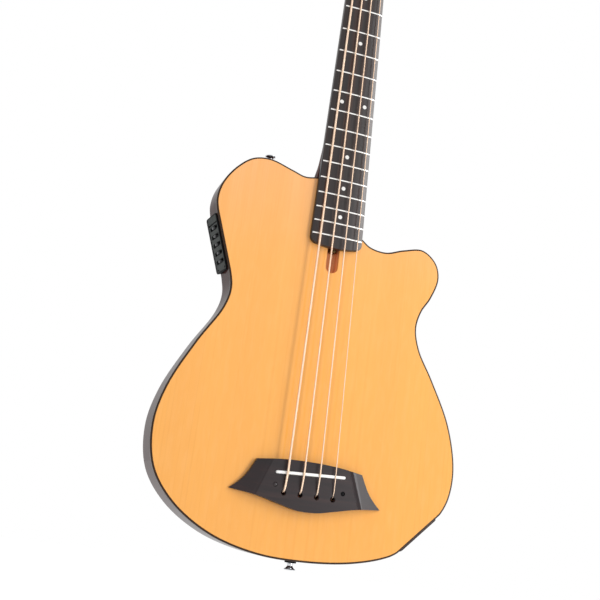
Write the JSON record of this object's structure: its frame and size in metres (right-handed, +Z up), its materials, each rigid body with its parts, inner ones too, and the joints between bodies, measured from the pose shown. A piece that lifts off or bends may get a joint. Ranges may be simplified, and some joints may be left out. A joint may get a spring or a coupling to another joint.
{
  "type": "acoustic bass guitar",
  "caption": "Thin-bodied single-cutaway acoustic bass guitar with fretted neck, geared tuners, bridge, preamp and strap buttons.",
  "frame": {"origin": "middle of the nut's front line, on the plane of the soundboard's face and the neck's glue face; a hanger holds the neck here", "axes": "+Z up the neck to the headstock, +Y from the soundboard into the body, +X to the treble side"},
  "size_m": [0.3578, 0.0717, 1.1616],
  "materials": {
    "spruce_top": "gloss amber lacquer over straight-grained softwood",
    "mahogany": "gloss lacquer over dark red-brown wood",
    "binding": "gloss dark edge binding",
    "brace_wood": "bare pale wood",
    "rosewood": "oiled dark grey-brown wood, open grain",
    "ebony": "satin near-black wood",
    "bone": "polished off-white",
    "black_plastic": "satin moulded black",
    "grey_plastic": "satin moulded dark grey",
    "chrome": "polished plating",
    "steel": "plain",
    "brass": "machined",
    "bronze": "wound bronze wire"
  },
  "bodies": {
    "guitar": {"soundboard": "spruce_top", "back_plate": "mahogany", "side_bass": "mahogany", "side_treble": "mahogany", "neck": "mahogany", "neck_block": "mahogany", "slot_tray": "mahogany", "tail_block": "mahogany", "top_binding": "binding", "top_lining": "brace_wood", "back_lining": "brace_wood", "tone_bar_bass": "brace_wood", "tone_bar_treble": "brace_wood", "upper_transverse_brace": "brace_wood", "back_brace_upper": "brace_wood", "back_brace_lower": "brace_wood", "bridge_plate": "brace_wood", "fingerboard": "rosewood", "headstock_overlay": "rosewood", "nut": "bone", "saddle": "bone", "truss_rod": "steel", "pickup_strip": "steel", "battery": "steel", "bridge": "ebony", "preamp_panel": "black_plastic", "jack_plate": "black_plastic", "preamp_housing": "grey_plastic", "output_jack": "chrome", "strap_button_tail": "chrome", "strap_button_shoulder": "chrome", "post_bushing_e": "chrome", "tuner_plate_e": "chrome", "string_e": "bronze", "post_bushing_a": "chrome", "tuner_plate_a": "chrome", "string_a": "bronze", "post_bushing_d": "chrome", "tuner_plate_d": "chrome", "string_d": "bronze", "post_bushing_g": "chrome", "tuner_plate_g": "chrome", "string_g": "bronze"},
    "key_e": {"tuning_key_e": "chrome"},
    "post_e": {"string_post_e": "chrome"},
    "key_a": {"tuning_key_a": "chrome"},
    "post_a": {"string_post_a": "chrome"},
    "key_d": {"tuning_key_d": "chrome"},
    "post_d": {"string_post_d": "chrome"},
    "key_g": {"tuning_key_g": "chrome"},
    "post_g": {"string_post_g": "chrome"},
    "slide_1": {"slider_1": "grey_plastic"},
    "slide_2": {"slider_2": "grey_plastic"},
    "slide_3": {"slider_3": "grey_plastic"},
    "slide_4": {"slider_4": "grey_plastic"},
    "slide_5": {"slider_5": "grey_plastic"},
    "rod_nut": {"truss_rod_nut": "brass"}
  },
  "joints": [
    {"name": "key_e_turn", "type": "hinge", "parent": "guitar", "child": "key_e", "pos_m": [-0.027, 0.0371, 0.06777], "axis": [1, 0, 0], "continuous": true},
    {"name": "post_e_turn", "type": "hinge", "parent": "guitar", "child": "post_e", "pos_m": [-0.027, 0.03419, 0.05407], "axis": [0, 0.9781, -0.2079], "continuous": true},
    {"name": "key_a_turn", "type": "hinge", "parent": "guitar", "child": "key_a", "pos_m": [-0.027, 0.05062, 0.13135], "axis": [1, 0, 0], "continuous": true},
    {"name": "post_a_turn", "type": "hinge", "parent": "guitar", "child": "post_a", "pos_m": [-0.027, 0.0477, 0.11765], "axis": [0, 0.9781, -0.2079], "continuous": true},
    {"name": "key_d_turn", "type": "hinge", "parent": "guitar", "child": "key_d", "pos_m": [0.027, 0.05062, 0.13135], "axis": [1, 0, 0], "continuous": true},
    {"name": "post_d_turn", "type": "hinge", "parent": "guitar", "child": "post_d", "pos_m": [0.027, 0.0477, 0.11765], "axis": [0, 0.9781, -0.2079], "continuous": true},
    {"name": "key_g_turn", "type": "hinge", "parent": "guitar", "child": "key_g", "pos_m": [0.027, 0.0371, 0.06777], "axis": [1, 0, 0], "continuous": true},
    {"name": "post_g_turn", "type": "hinge", "parent": "guitar", "child": "post_g", "pos_m": [0.027, 0.03419, 0.05407], "axis": [0, 0.9781, -0.2079], "continuous": true},
    {"name": "slider_1_slide", "type": "slide", "parent": "guitar", "child": "slide_1", "axis": [0, 1, 0], "range_m": [-0.007, 0.007]},
    {"name": "slider_2_slide", "type": "slide", "parent": "guitar", "child": "slide_2", "axis": [0, 1, 0], "range_m": [-0.007, 0.007]},
    {"name": "slider_3_slide", "type": "slide", "parent": "guitar", "child": "slide_3", "axis": [0, 1, 0], "range_m": [-0.007, 0.007]},
    {"name": "slider_4_slide", "type": "slide", "parent": "guitar", "child": "slide_4", "axis": [0, 1, 0], "range_m": [-0.007, 0.007]},
    {"name": "slider_5_slide", "type": "slide", "parent": "guitar", "child": "slide_5", "axis": [0, 1, 0], "range_m": [-0.007, 0.007]},
    {"name": "rod_nut_turn", "type": "hinge", "parent": "guitar", "child": "rod_nut", "pos_m": [0, 0.0085, -0.602], "axis": [0, 0, 1], "range_deg": [-270, 270]}
  ],
  "couplings": [
    {"joint": "post_e_turn", "follows": "key_e_turn", "ratio": -0.05},
    {"joint": "post_a_turn", "follows": "key_a_turn", "ratio": -0.05},
    {"joint": "post_d_turn", "follows": "key_d_turn", "ratio": -0.05},
    {"joint": "post_g_turn", "follows": "key_g_turn", "ratio": -0.05}
  ]
}
